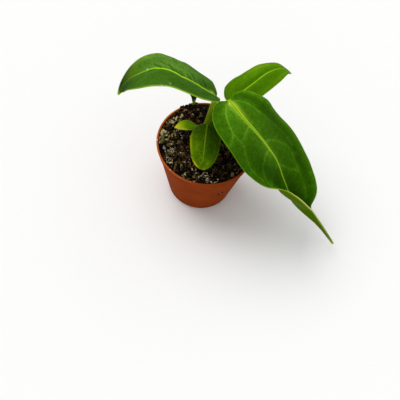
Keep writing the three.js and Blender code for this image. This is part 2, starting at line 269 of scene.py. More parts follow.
# Each leaf has its midrib from the joint to the tip and its half width. Then come values along the
# midrib, in degrees: the bank of the whole blade, and the fold and curl of its left and right half.
# Tuck is how far each half's lobe is drawn forward. Places on a blade are (along the midrib, across
# it), across from -1 at the left margin to 1 at the right one. A wave of the margin is (height,
# count, phase). A wash is (along, across, reach along, reach across, amount): the light and tone
# washes lighten or darken the green, partly as the leaf's own mottling and partly as painted light,
# painted shade and painted sheen; yellows turn it yellow, creams bleach it.
youngLeaf = {  # what a leaf has unless its own entry says otherwise
    "rows": 70, "spokes": 2.75, "keel": 0.4, "channel": 0.05, "tuck": (0, 0), "bank": [0, 0],
    "wave": (0, 1, 0), "veins": onBothHalves([[(0.2, 0), (0.4, 0.6)]]), "creases": [],
    "tone": 0.4, "veinShow": 0.08, "ribGlow": 0.05, "paintedLightAndTone": [], "yellows": [], "creams": [],
}
leafShapes = {
    "left": {
        "midrib": [
            (1, 11.5, 83), (-9.4, 9.4, 92.5), (-18.5, 8.2, 99), (-28, 9, 102.5), (-36, 9, 102),
            (-44, 9, 96), (-51, 9.5, 88.5), (-55.5, 10, 80), (-58.5, 9, 72),
        ],
        "halfWidth": 16.3, "outline": "heart", "rows": 190, "columns": 36, "spokes": 6.75,
        "keel": 1, "channel": 0.1,
        "tuck": (5, 0),
        "bank": [-22, -16, -8, 3, 11],
        "fold": [[30, 24, 15, 15, 6], [17, 10, 6, 13, 11]],
        "curl": [[22, 24, 25, 24, 25], [19, 25, 29, 24, 25]],
        "wave": (0.5, 2.9, 1.1),
        "veins": onBothHalves([
            [(0.01, 0.1), (0.06, 0.55), (0.2, 0.78), (0.5, 0.8), (0.75, 0.74), (0.92, 0.5)],
        ]) + [
            [(0.14, 0), (0.24, -0.45), (0.31, -0.79)], [(0.32, 0), (0.43, -0.45), (0.5, -0.8)],
            [(0.5, 0), (0.61, -0.45), (0.68, -0.77)], [(0.6, 0), (0.7, 0.45), (0.76, 0.73)],
        ],
        "creases": [
            [(0.54, 0.2), (0.484, 0.05)], [(0.5, 0.38), (0.459, 0.22)], [(0.44, 0.26), (0.399, 0.07)],
            [(0.39, 0.16), (0.328, 0.04)], [(0.354, 0.24), (0.315, 0.1)], [(0.285, 0.24), (0.25, 0.08)],
            [(0.23, 0.36), (0.205, 0.1)], [(0.18, 0.26), (0.144, 0.08)], [(0.42, 0.75), (0.39, 0.55)],
            [(0.12, 0.5), (0.1, 0.2)],
        ],
        "tone": 0.5, "veinShow": 0.06, "ribGlow": 0.12,
        "paintedLightAndTone": [
            (0.3, 0.6, 0.3, 0.5, 0.3), (0.62, 0.9, 0.15, 0.3, 0.25), (0.9, 0, 0.17, 1.5, -0.75),
            (0.08, 0.3, 0.08, 0.3, -0.25), (0.2, -0.7, 0.2, 0.4, -0.12), (-0.01, -0.5, 0.05, 0.4, -0.4),
            (0.45, 0.22, 0.25, 0.2, 0.22),
        ],
        "yellows": [
            (1.0, 0, 0.03, 2, 0.7), (0.02, 0.08, 0.035, 0.12, 0.9), (0.7, 1.0, 0.15, 0.25, 0.15),
            (0.4, -1, 0.45, 0.045, 0.6), (0.76, 0.3, 0.09, 0.5, 0.1),
        ],
        "creams": [
            (0.594, 0.05, 0.006, 0.035, 1), (0.4, -0.83, 0.005, 0.03, 0.8), (0.45, -0.98, 0.005, 0.03, 0.8),
        ],
    },
    "front": {
        "midrib": [
            (10, 1, 93), (19.5, -8, 91), (28, -11.6, 85), (36.5, -12.5, 74.5), (45, -14, 62.5),
            (52.5, -18.5, 49.2), (60.3, -23.4, 37.3), (69.9, -24.9, 25.9), (83.4, -29.5, 17.8),
            (96.4, -37.9, 9.1),
        ],
        "halfWidth": 23.2, "outline": "drip", "rows": 300, "columns": 48, "spokes": 10.25,
        "keel": 1.3, "channel": 0.86,
        "fold": [[12, 14, 7, 10.5, 23, 43.5, 66, 79, 96], [13, 9, 7, 4, -18, 46.5, 108, 88, 110]],
        "curl": [[17, 20, 23.5, 20, 12.5, 19.5, -62, 0, 0], [20, 22, 25, -26, -138, -60, 23.5, -16, -5]],
        "wave": (0.6, 3.4, 0),
        "veins": [
            [(0, 0.08), (0.005, 0.25), (0.034, 0.42), (0.074, 0.52), (0.11, 0.61), (0.149, 0.58)],
            [(0.149, 0.58), (0.17, 0.62), (0.2, 0.72), (0.26, 0.82), (0.34, 0.86)],
            [(0.136, 0), (0.136, 0.15), (0.142, 0.37), (0.149, 0.58)],
            [(0.306, 0), (0.297, 0.18), (0.306, 0.38), (0.315, 0.57), (0.359, 0.78), (0.4, 0.9)],
            [(0.41, 0), (0.424, 0.37), (0.408, 0.68), (0.4, 0.9)],
            [(0.11, 0.61), (0.123, 0.82), (0.123, 0.97)],
            [
                (0, -0.08), (0.017, -0.33), (0.055, -0.45), (0.123, -0.5), (0.22, -0.58), (0.3, -0.66),
                (0.4, -0.7),
            ],
            [
                (0.253, 0), (0.288, -0.23), (0.35, -0.43), (0.4, -0.55), (0.472, -0.54), (0.57, -0.57),
                (0.66, -0.55),
            ],
            [(0.408, 0), (0.464, -0.23), (0.51, -0.48), (0.536, -0.57)],
        ],
        "tone": 0.49, "veinShow": 0.24, "ribGlow": 0.16,
        "paintedLightAndTone": [
            (0.03, 0.35, 0.08, 0.3, 0.22), (0.14, 0.1, 0.12, 0.3, 0.1), (0.33, 0.05, 0.1, 0.3, 0.1),
            (0.01, -0.08, 0.04, 0.1, 0.4), (0.03, 0.13, 0.06, 0.07, 0.25), (0.47, 0.2, 0.07, 0.14, -0.15),
            (0.1, -0.85, 0.25, 0.2, 0.15), (0.16, -0.3, 0.1, 0.16, 0.14),
            (0.3, -1, 0.5, 0.16, 0.2), (0.14, -0.72, 0.2, 0.16, -0.22), (0.5, -0.72, 0.25, 0.16, -0.2),
            (0.47, 0.6, 0.16, 0.4, -0.28), (0.6, -0.1, 0.1, 0.4, -0.24), (0.3, 0.55, 0.08, 0.25, -0.15),
            (0.3, 0.2, 0.1, 0.2, 0.1),
        ],
        "yellows": [
            (0.0, 0.05, 0.025, 0.1, 0.7), (0.03, -0.06, 0.07, 0.07, 0.6), (1.0, 0, 0.04, 2, 0.9),
            (0.47, 1, 0.08, 0.04, 0.8),
        ],
        "creams": [
            (0.58, 1, 0.075, 0.03, 1), (0.7, 1, 0.09, 0.04, 1), (0.85, 1, 0.1, 0.12, 0.5),
            (0, 0.15, 0.015, 0.07, 0.6),
        ],
    },
    "back": {
        "midrib": [
            (10, 15.5, 76), (16.5, 17, 84.5), (23.5, 21.5, 90.5), (30, 27.5, 93.5), (38, 33, 93),
            (44.5, 34, 89),
        ],
        "halfWidth": 13.5, "outline": "pointed", "rows": 140, "columns": 30, "spokes": 5.25,
        "keel": 0.9, "channel": 0.1,
        "bank": [2, 10, 12, 7],
        "fold": [[11, 7, 3, 0], [13, 13, 10, 8]],
        "curl": [[20, 21, 25, 22], [20, 20, 22, 20]],
        "wave": (0.4, 1.8, 1.9),
        "veins": onBothHalves([
            [(0.02, 0.15), (0.08, 0.6), (0.25, 0.78), (0.6, 0.78), (0.85, 0.6)],
            [(0.2, 0), (0.3, 0.4), (0.38, 0.78)], [(0.42, 0), (0.52, 0.4), (0.6, 0.78)],
        ]),
        "tone": 0.5, "veinShow": 0.1, "ribGlow": 0.1,
        "paintedLightAndTone": [
            (0.6, -0.8, 0.25, 0.4, 0.28), (0.9, 0, 0.12, 1, 0.1), (0.6, 0.4, 0.3, 0.3, -0.15),
            (0.3, 0.6, 0.2, 0.5, -0.2), (0.45, -0.17, 0.3, 0.12, -0.3), (0.8, 0.7, 0.15, 0.4, 0.15),
        ],
        "yellows": [(1.0, 0, 0.05, 2, 0.5)],
    },
    "small": {
        "midrib": [(-1, 0.2, 68.2), (-1, -8, 70.5), (-0.5, -16.2, 68.2), (0, -21.7, 62), (1.5, -23.5, 54.5)],
        "halfWidth": 9.6, "outline": "blunt", "rows": 120, "columns": 28, "spokes": 4.25,
        "keel": 0.7, "channel": 0.1,
        "bank": [-6, -4, -10, -2],
        "fold": [[1, 4, 8, 10], [-2, 0, 3, 7]],
        "curl": [[25, 26, 24, 24], [25, 27, 27, 25]],
        "wave": (0.2, 2, 0),
        "veins": onBothHalves([[(0.75, 0), (0.82, 0.23), (0.87, 0.4)], [(0.3, 0), (0.45, 0.4), (0.6, 0.7)]]),
        "tone": 0.6, "veinShow": 0.12, "ribGlow": 0.12,
        "paintedLightAndTone": [
            (0.15, -0.4, 0.3, 0.5, -0.22), (0.5, -0.6, 0.2, 0.5, -0.25), (0.5, 0.6, 0.4, 0.4, 0.2),
            (0.95, -0.2, 0.07, 0.8, 0.25), (0.5, 0.95, 0.3, 0.15, 0.3), (0.8, -0.5, 0.12, 0.3, 0.22),
        ],
        "yellows": [(0.45, 0.98, 0.2, 0.1, 0.4), (0.87, 0.93, 0.08, 0.2, 1), (0.99, 0, 0.025, 0.6, 0.5)],
    },
    "tiny": {
        "midrib": [(-8, 6, 56.5), (-14.5, 5.5, 57.5), (-21.5, 2.5, 57)],
        "halfWidth": 4, "outline": "lobed", "columns": 18,
        "bank": [-16, -4, 6, 1],
        "fold": [[11, 9, 7, 4], [2, 5, 7, 8]],
        "curl": [[18, 18, 20, 20], [22, 18, 19, 20]],
        "paintedLightAndTone": [(0.65, 0, 0.2, 1, 0.35)],
        "yellows": [(0.93, 0, 0.25, 1.5, 1), (0.6, -0.9, 0.2, 0.3, 0.5)],
        "creams": [(0.85, -1, 0.12, 0.15, 0.8)],
    },
    "rear": {
        "midrib": [(-12.4, 27.8, 53), (-12.9, 29.6, 60), (-13.4, 31, 67), (-14, 31.6, 74)],
        "halfWidth": 4.6, "outline": "lance", "columns": 16,
        "fold": [[30, 26, 20], [30, 26, 20]],
        "curl": [[10, 10, 10], [10, 10, 10]],
    },
}
for name, shape in leafShapes.items():
    leafShapes[name] = youngLeaf | shape
bladeForm = {
    "thickness": 0.65, "edgeThickness": 0.32, "edgePower": 6, "columnSpread": 1.15,
    "startRow": 0.045, "endRow": 0.99, "lobeDrop": 0.3, "tuckEnd": 0.12, "halfShift": 1.7,
    "leastWidth": 0.6, "tipShare": 0.6, "marginBand": 2.5,
    "ribRise": 0.25, "ribTaper": 0.7, "ribWidth": 0.6, "keelWidth": 0.9, "keelTaper": 0.9,
    "channelEnd": 0.42, "channelDepth": 0.3, "channelShare": 0.6, "channelLeast": 0.05,
    "veinDip": 0.22, "veinWidth": 0.6, "veinKeel": 0.2, "puff": 0.3, "puffReach": 3.2,
    "creaseDip": 0.35, "creaseWidth": 0.45, "creasePaintedShade": 0.45, "underShare": 0.5,
    "ripple": 0.16, "ripplePitch": 0.16, "pucker": 0.05, "puckerPitch": 0.75,
    "ribReach": 2.6, "veinReach": 0.5, "haloReach": 2.0, "haloShare": 0.3, "glowTaper": 0.4,
}
bladeLayers = ("across", "along", "marginGap", "under")


def lineTree(lines, length, widthAt):  # spots along lines on the flat blade, to find the nearest one
    spots = [(1e3, 1e3, 1e3)]  # far off, for a blade with no such lines
    spotsPerPoint = 24
    for line in lines:
        points = [Vector(p) for p in line]
        steps = spotsPerPoint * (len(points) - 1)
        for i in range(steps + 1):
            along, across = through(points, i / steps)
            spots.append((along * length, across * widthAt(along), 0))
    tree = kdtree.KDTree(len(spots))
    for i, spot in enumerate(spots):
        tree.insert(spot, i)
    tree.balance()
    return tree


def washed(washes, along, across):
    return sum(amount * bump(along - a, ra) * bump(across - c, rc) for a, c, ra, rc, amount in washes)


def backBlade(bm, downs):  # the underside, a copy let down by each vert's own depth and joined at the margin
    under = bm.verts.layers.float["under"]
    bm.verts.index_update()
    topEdges = [edge for edge in bm.edges if edge.is_boundary]
    copied = bmesh.ops.duplicate(bm, geom=bm.verts[:] + bm.edges[:] + bm.faces[:])
    source = copied["vert_map"]
    for part in copied["geom"]:
        if isinstance(part, bmesh.types.BMVert):
            part.co -= downs[source[part].index]
            part[under] = 1
    underFaces = [part for part in copied["geom"] if isinstance(part, bmesh.types.BMFace)]
    bmesh.ops.reverse_faces(bm, faces=underFaces)
    known = set(topEdges)
    underEdges = [edge for edge in bm.edges if edge.is_boundary and edge not in known]
    bmesh.ops.bridge_loops(bm, edges=topEdges + underEdges)


def bendBlade(leaf, midribAt, level, x, half, out, s, width):  # where a place goes, and its normal
    form = bladeForm
    sign = (-1, 1)[half]
    spot, ahead = midribAt(x)
    side = (level - level.dot(ahead) * ahead).normalized()
    above = side.cross(ahead)
    bank = Quaternion(ahead, -math.radians(through(leaf["bank"], x)))
    side, above = bank @ side, bank @ above
    bend = math.radians(through(leaf["curl"][half], x)) / leaf["halfWidth"] or 1e-6
    fold = math.radians(through(leaf["fold"][half], x))
    slope = fold - bend * width
    height, count, phase = leaf["wave"]
    wave = height * out**2 * math.sin(math.tau * count * x + phase + half * form["halfShift"])
    behind = min(s, 0)
    rise = (math.cos(slope) - math.cos(fold)) / bend + wave + behind * math.sin(form["lobeDrop"])
    spot = spot + ahead * behind * math.cos(form["lobeDrop"]) + above * rise
    spot += side * sign * (math.sin(fold) - math.sin(slope)) / bend
    return spot, (above * math.cos(slope) - side * sign * math.sin(slope)).normalized()


def bladeRelief(leaf, x, flat, width, vein, crease, onBlade):  # how far the skin stands up or dips
    form = bladeForm
    channelLeft = max(1 - x / form["channelEnd"], 0)
    channel = leaf["channel"] * channelLeft
    trough = bump(width, form["channelShare"] * channel + form["channelLeast"])
    relief = form["ribRise"] * (1 - form["ribTaper"] * x) * bump(abs(width) - channel, form["ribWidth"])
    relief -= form["channelDepth"] * trough * channelLeft
    relief -= form["veinDip"] * bump(vein, form["veinWidth"]) * onBlade
    relief -= form["creaseDip"] * bump(crease, form["creaseWidth"])
    relief += form["puff"] * (1 - bump(min(vein, width), form["puffReach"])) * onBlade
    relief += form["ripple"] * onBlade * noise.noise(flat * form["ripplePitch"])
    return relief + form["pucker"] * onBlade * noise.noise(flat * form["puckerPitch"])


def bladeWash(leaf, x, across, width, vein, crease):  # how light, how yellow and how bleached a place is
    form = bladeForm
    taper = 1 - form["glowTaper"] * x
    halo = bump(vein, form["veinReach"]) + form["haloShare"] * bump(vein, form["haloReach"])
    # the tone washes add painted light, painted shade and painted sheen to the leaf's own mottling
    tone = leaf["tone"] + washed(leaf["paintedLightAndTone"], x, across)
    tone += leaf["ribGlow"] * bump(width, form["ribReach"]) * taper
    tone += leaf["veinShow"] * halo * taper
    # painted shade darkens the creases
    tone -= form["creasePaintedShade"] * bump(crease, form["creaseWidth"])
    yellow, cream = (min(washed(leaf[key], x, across), 1) for key in ("yellows", "creams"))
    return max(tone, 0), yellow, cream, 1


def bladeMesh(name):
    leaf = leafShapes[name]
    form = bladeForm
    halfWidth = leaf["halfWidth"]
    length, midribAt = walk(leaf["midrib"])
    outline = [Vector(p + (0,)) for p in outlines[leaf["outline"]]]
    samples = 200
    edges = [through(outline, i / samples) for i in range(samples // 5, samples + 1)]  # past the lobes

    def widthAt(along):
        i = bisect.bisect_left(edges, along, key=lambda edge: edge.x)
        return edges[min(i, len(edges) - 1)].y * halfWidth

    veins = lineTree(leaf["veins"], length, widthAt)
    creases = lineTree(leaf["creases"], length, widthAt)
    heading = Vector(leaf["midrib"][-1]) - Vector(leaf["midrib"][0])
    level = Vector((heading.x, heading.y, 0)).cross(Vector((0, 0, 1))).normalized()

    bm = bmesh.new()
    bm.loops.layers.uv.new("UVMap")
    layers = {key: bm.verts.layers.float.new(key) for key in bladeLayers}
    washLayer = bm.verts.layers.float_color.new("wash")
    bmesh.ops.create_grid(
        bm, x_segments=2 * leaf["columns"], y_segments=leaf["rows"], size=1, calc_uvs=True)
    downs = []
    for vert in bm.verts:
        row, place = (vert.co.y + 1) / 2, vert.co.x
        half, sign = (0, -1) if place < 0 else (1, 1)
        out = abs(place) ** form["columnSpread"]
        edge = through(outline, mix(form["startRow"], form["endRow"], row))
        edgeAlong = edge.x * length
        foot = clamp(edgeAlong, row * leaf["spokes"], length)
        s = foot + out * (edgeAlong - foot)
        s += leaf["tuck"][half] * out**2 * max(1 - edge.x / form["tuckEnd"], 0)
        x = clamp(s / length)
        width = out * edge.y * halfWidth
        flat = Vector((s, sign * width, 0))
        vein, crease = veins.find(flat)[2], creases.find(flat)[2]
        toTip = (1 - row) * form["tipShare"] * length
        marginGap = min((1 - out) * max(edge.y * halfWidth, form["leastWidth"]), toTip)
        onBlade = smoothStep(0, form["marginBand"], marginGap)

        spot, normal = bendBlade(leaf, midribAt, level, x, half, out, s, width)
        relief = bladeRelief(leaf, x, flat, width, vein, crease, onBlade)
        vert.co = spot + normal * relief
        thickness = mix(form["thickness"], form["edgeThickness"], out ** form["edgePower"])
        keel = leaf["keel"] * (1 - form["keelTaper"] * x) * bump(width, form["keelWidth"])
        veinKeel = form["veinKeel"] * bump(vein, form["veinWidth"]) * onBlade
        downs.append(normal * (thickness + keel + relief * form["underShare"] + veinKeel))
        vert[washLayer] = bladeWash(leaf, x, sign * out, width, vein, crease)
        for key, value in zip(bladeLayers, (sign * width, x, marginGap)):
            vert[layers[key]] = value
    backBlade(bm, downs)
    return bm


commonColours = {"cream": "#d2d9a4", "under": "#6d8836"}  # unless the leaf has its own
# Greens from dark to light, single colours, the width of the midrib's line at the joint and at
# the tip, and where along the blade the line fades.
leafColours = {
    "left": {
        "greens": ["#1c3c00", "#2a4f08", "#3a6412", "#4a7620", "#669230"],
        "rib": "#a8d822", "channel": "#86b418", "yellow": "#b4d83c", "margin": "#568216",
        "ribLine": (0.8, 0.25), "ribFade": (0.4, 0.8),
    },
    "front": {
        "greens": ["#173400", "#264d00", "#366204", "#487a0e", "#6b9d20"],
        "rib": "#a0c92c", "channel": "#528610", "yellow": "#a8bf2a",
        "cream": "#d4de74", "margin": "#6d9a14",
        "under": "#4c6a00", "ribLine": (0.38, 0.3), "ribFade": (0.64, 0.8),
    },
    "back": {
        "greens": ["#2c5100", "#3c6600", "#487502", "#578406", "#73a012"],
        "rib": "#94c020", "channel": "#5c8a0c", "yellow": "#9cb020", "margin": "#6d9a10",
        "ribLine": (0.36, 0.3), "ribFade": (0.6, 0.95),
    },
    "small": {
        "greens": ["#162b01", "#223c02", "#335202", "#456803", "#6c9008"],
        "rib": "#7da01c", "channel": "#4c7008", "yellow": "#c6c80c", "margin": "#5c7d0c",
        "ribLine": (0.3, 0.3), "ribFade": (0.35, 0.85),
    },
    "tiny": {
        "greens": ["#345602", "#456a02", "#5a8a02", "#80ac04", "#aecb0c"],
        "rib": "#76a40c", "channel": "#528002", "yellow": "#f2f62c",
        "cream": "#e6dfb0", "margin": "#9cb414",
        "ribLine": (0.25, 0.25), "ribFade": (0.3, 0.8),
    },
    "rear": {
        "greens": ["#131e03", "#1c2c05", "#283a08", "#3a5010", "#5a7a1c"],
        "rib": "#465c14", "channel": "#283a08", "yellow": "#9cb020", "margin": "#566c1c",
        "under": "#33450f", "ribLine": (0.3, 0.3), "ribFade": (0.5, 0.9),
    },
}
leafFinish = {
    "roughness": 0.55, "ior": 1.4, "specular": 0.012,
    "blotch": 3.6, "blotchShare": 0.45, "net": 2.2, "netShare": 0.13, "cell": 0.4, "cellDepth": 0.05,
}


# Living leaf: a waxy, faintly velvety skin over soft tissue. It is matt, and its light veins and
# pale margin are in the tissue and not on it.
def leafMaterial(name):
    colours = commonColours | leafColours[name]
    finish = leafFinish
    material, add = newMaterial("living leaf " + name)
    spots = add("TexCoord").outputs["Object"]
    wash = add("Attribute", attribute_name="wash")
    # the wash's tone holds the leaf's own mottling together with painted light, shade and sheen
    toneWithPaintedLight, yellows, creams = add("SeparateColor", {"Color": wash}).outputs
    across, along, marginGap, under = (
        add("Attribute", attribute_name=key).outputs["Fac"] for key in bladeLayers)

    blotch = add(
        "TexNoise",
        {"Vector": spots, "Scale": pitch(finish["blotch"]), "Detail": 4.0, "Roughness": 0.6})
    blotched = add(
        "Math", {0: blotch, 1: finish["blotchShare"], 2: -0.5 * finish["blotchShare"]},
        operation="MULTIPLY_ADD")
    net = add("TexVoronoi", {"Vector": spots, "Scale": pitch(finish["net"])}, feature="DISTANCE_TO_EDGE")
    netLines = add(
        "MapRange", {"Value": net, "From Max": 0.12, "To Min": finish["netShare"], "To Max": 0.0})
    veined = add("Math", {0: toneWithPaintedLight, 1: netLines}, operation="ADD")
    tone = add("Math", {0: veined, 1: blotched}, operation="ADD")
    darkest, dark, middle, light, lightest = colours["greens"]
    colour = add(
        "ValToRGB", {"Fac": tone},
        stops=[(0.0, darkest), (1.0, lightest), (0.25, dark), (0.5, middle), (0.75, light)])

    fromRib = add("Math", {0: across}, operation="ABSOLUTE")
    split = add(
        "MapRange",
        {"Value": along, "From Max": bladeForm["channelEnd"],
         "To Min": leafShapes[name]["channel"], "To Max": 0.0})
    inside = add("Math", {0: split, 1: fromRib}, operation="SUBTRACT")
    offLine = add("Math", {0: inside}, operation="ABSOLUTE")
    ribStart, ribEnd = colours["ribLine"]
    ribWidth = add("MapRange", {"Value": along, "To Min": ribStart, "To Max": ribEnd})
    offShare = add("Math", {0: offLine, 1: ribWidth}, operation="DIVIDE")
    ribLine = add(
        "MapRange", {"Value": offShare, "From Min": 0.4, "From Max": 1.7, "To Min": 1.0, "To Max": 0.0},
        interpolation_type="SMOOTHSTEP")
    fadeStart, fadeEnd = colours["ribFade"]
    ribFade = add(
        "MapRange",
        {"Value": along, "From Min": fadeStart, "From Max": fadeEnd, "To Min": 1.0, "To Max": 0.1})
    ribMask = add("Math", {0: ribLine, 1: ribFade}, operation="MULTIPLY")
    channelMask = add("MapRange", {"Value": inside, "From Min": 0.15, "From Max": 0.45, "To Max": 0.85})
    marginMask = add(
        "MapRange",
        {"Value": marginGap, "From Min": 0.1, "From Max": 0.55, "To Min": 0.9, "To Max": 0.0})
    layers = {
        "channel": channelMask, "rib": ribMask, "margin": marginMask, "under": under,
        "yellow": yellows, "cream": creams,
    }
    for over, share in layers.items():
        colour = add(
            "Mix", {mixShare: share, mixUnder: colour, mixOver: linear(colours[over])},
            data_type="RGBA")
    cells = add("TexVoronoi", {"Vector": spots, "Scale": pitch(finish["cell"])}, feature="F1")
    skin = add("Bump", {"Height": cells, "Strength": 0.3, "Distance": finish["cellDepth"] * mm})
    finishSurface(add, finish, colour, Normal=skin)
    return material


for name in leafShapes:
    placePiece("blade_" + name, bladeMesh(name), leafMaterial(name), ["leaf_" + name])
    print("blade", name)


# Stalks and stem

stalkShapes = {
    "left": {
        "route": [(-1.3, 6, 51), (-1.2, 6.2, 60), (-0.7, 7.2, 68), (0.2, 9.2, 76), (1.5, 11.3, 81.4)],
        "radius": [2.8, 2.5, 2, 1.7, 1.6],
    },
    "front": {
        "route": [(3.6, 4.6, 51), (4.4, 4.8, 61), (7, 4.6, 72), (9.9, 3.8, 82), (9.8, 2.8, 90.6)],
        "radius": [2.3, 2.1, 1.9, 1.8, 1.9],
    },
    "back": {
        "route": [(2.2, 9, 51), (2.6, 9.6, 59), (4.2, 11.4, 67), (6.8, 13.6, 72.6), (9.2, 14.8, 75.3)],
        "radius": [2, 1.8, 1.6, 1.5, 1.6],
    },
    "small": {
        "route": [(0.4, 1, 49), (0, 0.2, 55), (-0.6, -0.4, 61), (-0.9, 0.6, 66.6)],
        "radius": [1.5, 1.3, 1.2, 1.3],
    },
    "tiny": {
        "route": [(-4.6, 5, 50), (-5, 5.6, 55), (-5.9, 6.1, 57.4), (-7.3, 6.1, 56.9)],
        "radius": [1.1, 1, 0.95, 1],
    },
    "rear": {
        "route": [(-12, 25.8, 45), (-12.1, 26.4, 50), (-12.5, 28.2, 55)],
        "radius": [1.1, 1, 0.9],
    },
}
stalkForm = {
    "sides": 28, "ringStep": 0.6, "endRise": 0.7, "ridge": 0.03, "ridges": 7,
    "lump": 0.05, "lumpPitch": 0.35, "greening": 40,
}


def stalkMesh(name):
    shape = stalkShapes[name]
    form = stalkForm
    length, at = walk(shape["route"])
    foot, head = (shape["radius"][i] * form["endRise"] for i in (0, -1))
    total = foot + length + head

    def spotOf(around, along):  # both ends are domed
        height = along * total - foot
        onAxis = clamp(height, 0, length)
        past = abs(height - onAxis) / (foot if height < 0 else head)
        spot, ahead = at(onAxis / length)
        across = Vector((0, 1, 0)).cross(ahead).normalized()
        third = ahead.cross(across)
        radius = through(shape["radius"], onAxis / length) * math.sqrt(max(1 - past**2, 0))
        direction = across * math.cos(around) + third * math.sin(around)
        ridges = form["ridge"] * math.cos(form["ridges"] * around)
        lumps = form["lump"] * noise.noise(spot * form["lumpPitch"] + direction * 2)
        return spot + ahead * (height - onAxis) + direction * radius * (1 + ridges + lumps)

    bm = bmesh.new()
    layer = bm.verts.layers.float.new("along")
    wrapGrid(bm, max(int(total / form["ringStep"]), 8), form["sides"], spotOf)
    for vert in bm.verts:
        vert[layer] = clamp((vert.co.z - shape["route"][0][2]) / form["greening"])
    bmesh.ops.recalc_face_normals(bm, faces=bm.faces[:])
    return bm


stemFinish = {
    "low": "#7d980a", "middle": "#6f8a0c", "high": "#a4bc20", "streak": "#3e5004",
    "roughness": 0.5, "ior": 1.4, "specular": 0.06,
    "streakWidth": 0.5, "streakLength": 9.0, "streakDepth": 0.12, "streakShare": 0.6,
}


# Leaf stalk: firm green tissue with a waxy skin, streaked along its length.
def stalkMaterial():
    finish = stemFinish
    material, add = newMaterial("waxy stalk")
    spots = add("TexCoord").outputs["Object"]
    wide, long = pitch(finish["streakWidth"]), pitch(finish["streakLength"])
    stretched = add("Mapping", {"Vector": spots, "Scale": (wide, wide, long)})
    streaks = add("TexNoise", {"Vector": stretched, "Scale": 1.0, "Detail": 3.0})
    along = add("Attribute", attribute_name="along").outputs["Fac"]
    green = add(
        "ValToRGB", {"Fac": along},
        stops=[(0.0, finish["low"]), (0.8, finish["high"]), (0.4, finish["middle"])])
    streakMask = add(
        "MapRange",
        {"Value": streaks, "From Min": 0.42, "From Max": 0.7, "To Max": finish["streakShare"]})
    colour = add(
        "Mix", {mixShare: streakMask, mixUnder: green, mixOver: linear(finish["streak"])},
        data_type="RGBA")
    skin = add("Bump", {"Height": streaks, "Strength": 0.3, "Distance": finish["streakDepth"] * mm})
    finishSurface(add, finish, colour, Normal=skin)
    return material


waxyStalk = stalkMaterial()
for name in stalkShapes:
    placePiece("stalk_" + name, stalkMesh(name), waxyStalk, ["petiole_" + name])
print("stalks")

crownForm = {
    "x": 1.2, "y": 5.8, "bottom": 40, "top": 55.5, "radius": 5.8, "sides": 96, "rings": 80,
    "bulge": 0.7, "scars": 6, "scarDepth": 0.3, "scarTilt": 0.6, "lump": 0.35, "lumpPitch": 1.6,
}


def crownMesh():
    form = crownForm

    def spotOf(around, along):
        angle = math.pi * along
        radius = form["radius"] * math.sin(angle) ** form["bulge"]
        height = mix(form["bottom"], form["top"], (1 - math.cos(angle)) / 2)
        tilt = form["scarTilt"] * math.sin(around + height * 0.5)
        scar = form["scarDepth"] * abs(math.sin(form["scars"] * math.pi * along + tilt))
        direction = outward(around)
        lump = form["lump"] * noise.noise(direction * form["lumpPitch"] + Vector((0, 0, height * 0.3)))
        axis = Vector((form["x"], form["y"], height))
        return axis + direction * radius * (1 + (lump - scar) / form["radius"])

    bm = bmesh.new()
    bm.verts.layers.float.new("along")
    wrapGrid(bm, form["rings"], form["sides"], spotOf)
    bmesh.ops.recalc_face_normals(bm, faces=bm.faces[:])
    return bm


placePiece("stem_crown", crownMesh(), waxyStalk, ["crown"])
print("crown")


# Pot

potForm = {
    "rimRadius": 32, "height": 50, "baseRadius": 22, "wall": 1.1, "floor": 1.5, "lip": 1.3,
    "lipHeight": 1.1, "collarHeight": 6, "collarStep": 0.6, "edge": 0.4, "rounding": 0.17,
    "roundedFrom": 12, "sides": 160,
    "drainCount": 5, "drainRadius": 2.6, "drainCircle": 13, "drainSides": 32,
}
potInside = {}


def potMesh():
    form = potForm
    edge, height, floor, rim = form["edge"], form["height"], form["floor"], form["rimRadius"]
    bodyTop = height - form["collarHeight"]
    lipFoot = height - form["lipHeight"]
    collar = rim - 2 * edge
    body = collar - form["collarStep"] - edge
    innerRim, innerBody, innerBase = rim - form["lip"], body - form["wall"], form["baseRadius"] - form["wall"]
    potInside.update(rim=innerRim, body=innerBody, base=innerBase, bodyTop=bodyTop)
    profile = [
        (0, 0), (form["baseRadius"] - 2 * edge, 0), (form["baseRadius"], 2 * edge), (body, bodyTop - edge),
        (collar - edge, bodyTop), (collar, lipFoot - edge), (rim, lipFoot + edge), (rim - edge / 2, height),
        (innerRim + edge / 2, height), (innerRim, height - edge), (innerRim - edge, bodyTop + edge),
        (innerBody, bodyTop - 2 * edge), (innerBase, floor + edge), (innerBase - edge, floor), (0, floor),
    ]
    bm = bmesh.new()
    verts = [bm.verts.new((radius, 0, z)) for radius, z in profile]
    edges = [bm.edges.new(pair) for pair in zip(verts, verts[1:])]
    bmesh.ops.spin(
        bm, geom=verts + edges, cent=(0, 0, 0), axis=(0, 0, 1), angle=math.tau,
        steps=form["sides"], use_merge=True)
    bmesh.ops.remove_doubles(bm, verts=bm.verts[:], dist=1e-4)
    bmesh.ops.recalc_face_normals(bm, faces=bm.faces[:])
    rings = []  # the level edges between faces that meet at a clear angle
    for ring in bm.edges:
        a, b = (vert.co for vert in ring.verts)
        level = abs(a.z - b.z) < 1e-5 and abs(a.xy.length - b.xy.length) < 1e-4
        if level and ring.calc_face_angle(0) > math.radians(form["roundedFrom"]):
            rings.append(ring)
    bmesh.ops.bevel(
        bm, geom=rings, offset=form["rounding"], offset_type="OFFSET", segments=3, profile=0.5,
        affect="EDGES", material=-1, clamp_overlap=True)
    return bm


